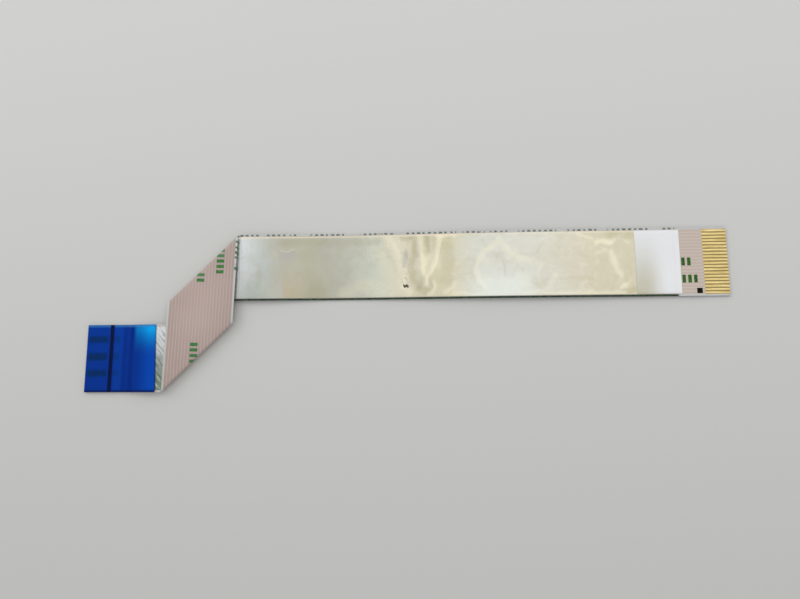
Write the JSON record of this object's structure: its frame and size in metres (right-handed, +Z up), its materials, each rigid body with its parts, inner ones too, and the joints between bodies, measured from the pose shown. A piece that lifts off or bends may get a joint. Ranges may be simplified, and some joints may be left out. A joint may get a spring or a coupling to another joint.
{
  "type": "flat flex cable",
  "caption": "Shielded flat flex ribbon cable with slanting folds that step it sideways and a stiffened end with bare contacts at each side, for board connectors.",
  "frame": {"origin": "middle of the footprint, on the surface the cable lies on", "axes": "+X along the cable from the end with the stiffener on top to the end with the contacts on top, +Y towards the right run's side of the step, +Z up"},
  "size_m": [0.0986, 0.0246, 0.0013],
  "materials": {
    "film": "satin",
    "conductor": "satin",
    "stiffener": "glossy",
    "foil": "satin",
    "tape": "satin",
    "dark_ink": "matte",
    "green_ink": "matte"
  },
  "bodies": {
    "root": {"lower_film": "film", "upper_film": "film", "conductor_01": "conductor", "conductor_02": "conductor", "conductor_03": "conductor", "conductor_04": "conductor", "conductor_05": "conductor", "conductor_06": "conductor", "conductor_07": "conductor", "conductor_08": "conductor", "conductor_09": "conductor", "conductor_10": "conductor", "conductor_11": "conductor", "conductor_12": "conductor", "conductor_13": "conductor", "conductor_14": "conductor", "conductor_15": "conductor", "conductor_16": "conductor", "conductor_17": "conductor", "conductor_18": "conductor", "conductor_19": "conductor", "conductor_20": "conductor", "left_stiffener": "stiffener", "right_stiffener": "stiffener", "shield_foil": "foil", "white_tape": "tape", "insertion_line": "dark_ink", "polarity_mark": "dark_ink", "bars_at_right_end": "green_ink", "bars_on_middle_run": "green_ink"}
  },
  "joints": []
}
